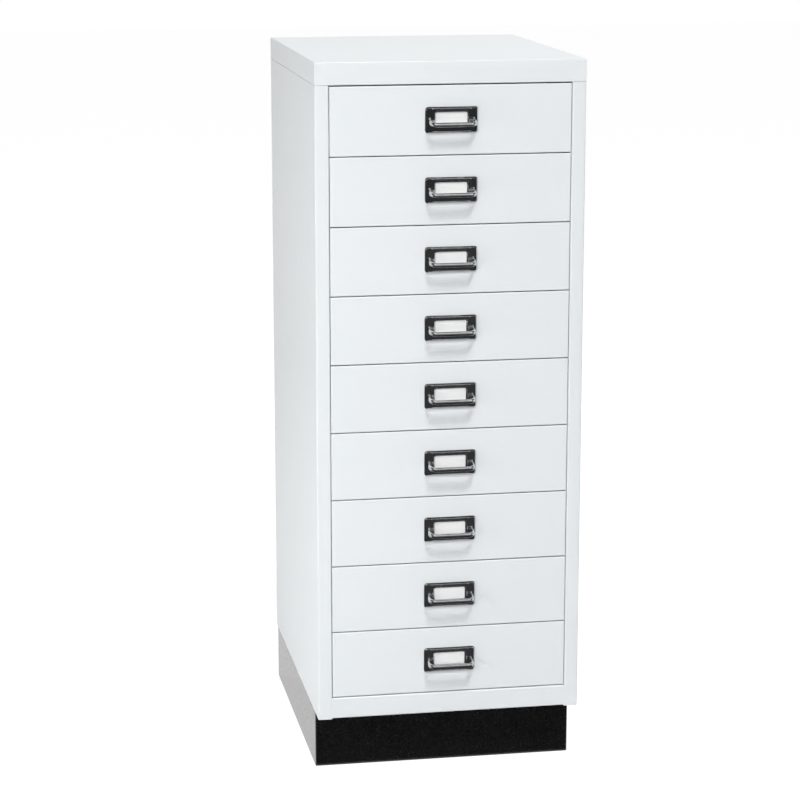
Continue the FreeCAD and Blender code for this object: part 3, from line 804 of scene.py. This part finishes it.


# a glowing sheet that only reflections see, a painted reflection; a bright one is dimmer in its middle
# and fades towards its ends
def glowMaterial(name, strength):
    material = bpy.data.materials.new(name)
    material.use_nodes = True
    tree = material.node_tree
    tree.nodes.remove(tree.nodes["Principled BSDF"])
    if strength > paintedReflections["boxFrom"]:
        place = addNode(tree, "ShaderNodeTexCoord").outputs["Object"]
        across = addNode(tree, "ShaderNodeSeparateXYZ", {0: place}).outputs[0]
        apart = sums(tree, "SUBTRACT", across, paintedReflections["middleAt"])
        apart = addNode(tree, "ShaderNodeMath", {0: apart}, operation="ABSOLUTE").outputs[0]
        middle = mapRange(tree, apart, paintedReflections["middleWidth"], (paintedReflections["middleShare"], 1.0))
        fade = mapRange(tree, apart, paintedReflections["fadeWidth"], (1.0, paintedReflections["fadeShare"]))
        strength = sums(tree, "MULTIPLY", sums(tree, "MULTIPLY", middle, fade), strength)
    glow = addNode(tree, "ShaderNodeEmission", {"Color": (1, 1, 1, 1), "Strength": strength})
    tree.links.new(glow.outputs[0], tree.nodes["Material Output"].inputs["Surface"])
    return material


half, nearDarkStrip = paintedReflections["half"], paintedReflections["strips"][0]
sheets = [([(-half, y), (half, y)], z, [(-half, nextY), (half, nextY)], nextZ, tone)
          for (y, z, tone), (nextY, nextZ, _) in zip(paintedReflections["strips"], paintedReflections["strips"][1:])]
for side in (-1, 1):
    edge = [(side * paintedReflections["sideFrom"], nearDarkStrip[0]), (side * half, nearDarkStrip[0])]
    back = [(x, paintedReflections["sideBack"]) for x, _ in edge]
    sheets.append((edge, nearDarkStrip[1], back, nearDarkStrip[1], nearDarkStrip[2]))
# each strip is a painted reflection: it glows for reflections only, and is hidden from the camera, from
# diffuse light and from shadows
for number, (edge, z, farEdge, farZ, tone) in enumerate(sheets):
    name = f"mirrored_{number}"
    places = [[(x, y, z) for x, y in edge], [(x, y, farZ) for x, y in farEdge]]
    strip = stageSheet(name, places, glowMaterial(name, tone))
    strip.visible_camera = False
    strip.visible_diffuse = False
    strip.visible_shadow = False
    strip.visible_transmission = False


def addLight(name, power, size, distance, height, aside, target):
    data = bpy.data.lights.new(name, "AREA")
    data.energy, data.size = power, size
    lamp = newObject(name, data)
    height, aside = math.radians(height), math.radians(aside)
    flat = math.cos(height)
    away = Vector((math.sin(aside) * flat, -math.cos(aside) * flat, math.sin(height)))
    lamp.location = Vector(target) + away * distance
    lamp.rotation_euler = away.to_track_quat("Z", "Y").to_euler()
    return lamp


# The paint gleams under some of the lamps. None of them lights the chrome, which shows the painted
# reflections of the strips above.
painted = bpy.data.collections.new("painted")
for made in bpy.data.objects:
    if made.type == "MESH" and "_handle" not in made.name:
        painted.objects.link(made)
for name, values in studio["lamps"].items():
    lamp = addLight(name + "Light", *values)
    lamp.light_linking.receiver_collection = painted
    lamp.visible_glossy = name in studio["gleaming"]
print("studio made")

view = {
    "place": (-0.6188, -3.3294, 1.1983),
    "down": 12.298, "aside": -10.035,   # degrees
    "focal": 2525.7, "frame": 800,      # both in the photo's pixels
    "sensor": 36,
}
cameraData = bpy.data.cameras.new("photoCamera")
cameraData.lens = view["focal"] / view["frame"] * view["sensor"]
cameraData.sensor_width = view["sensor"]
camera = newObject("photoCamera", cameraData)
camera.location = view["place"]
camera.rotation_euler = (math.radians(90 - view["down"]), 0, math.radians(view["aside"]))
bpy.context.scene.camera = camera
bpy.context.scene.view_settings.view_transform = "Standard"

print("all pieces made")
